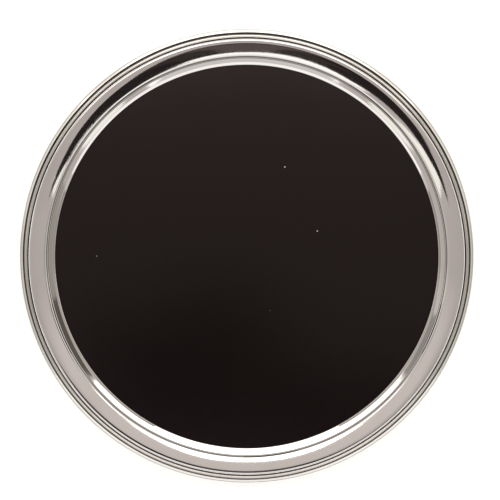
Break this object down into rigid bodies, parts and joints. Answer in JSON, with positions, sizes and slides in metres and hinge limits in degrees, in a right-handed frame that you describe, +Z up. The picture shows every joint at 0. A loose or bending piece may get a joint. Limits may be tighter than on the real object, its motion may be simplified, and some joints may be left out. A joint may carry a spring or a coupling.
{
  "type": "shoe polish tin",
  "caption": "Open round tin of solid black shoe polish with a bright stepped rim, standing in its own upturned slip lid.",
  "frame": {"origin": "centre of the foot ring that the tin stands on, at table height", "axes": "+Z up along the tin's axis"},
  "size_m": [0.0748, 0.0748, 0.018],
  "materials": {
    "lid_tinplate": "bright tinplate, slightly satin",
    "pan_tinplate": "bright tinplate, slightly satin",
    "collar_tinplate": "bright tinplate, slightly satin",
    "black_wax": "semi-gloss black wax"
  },
  "bodies": {
    "lid": {"lid": "lid_tinplate"},
    "tin": {"base_pan": "pan_tinplate", "rim_collar": "collar_tinplate", "wax_cake": "black_wax"}
  },
  "joints": [
    {"name": "lid_lift", "type": "slide", "parent": "lid", "child": "tin", "axis": [0, 0, 1], "range_m": [0, 0.03]}
  ]
}
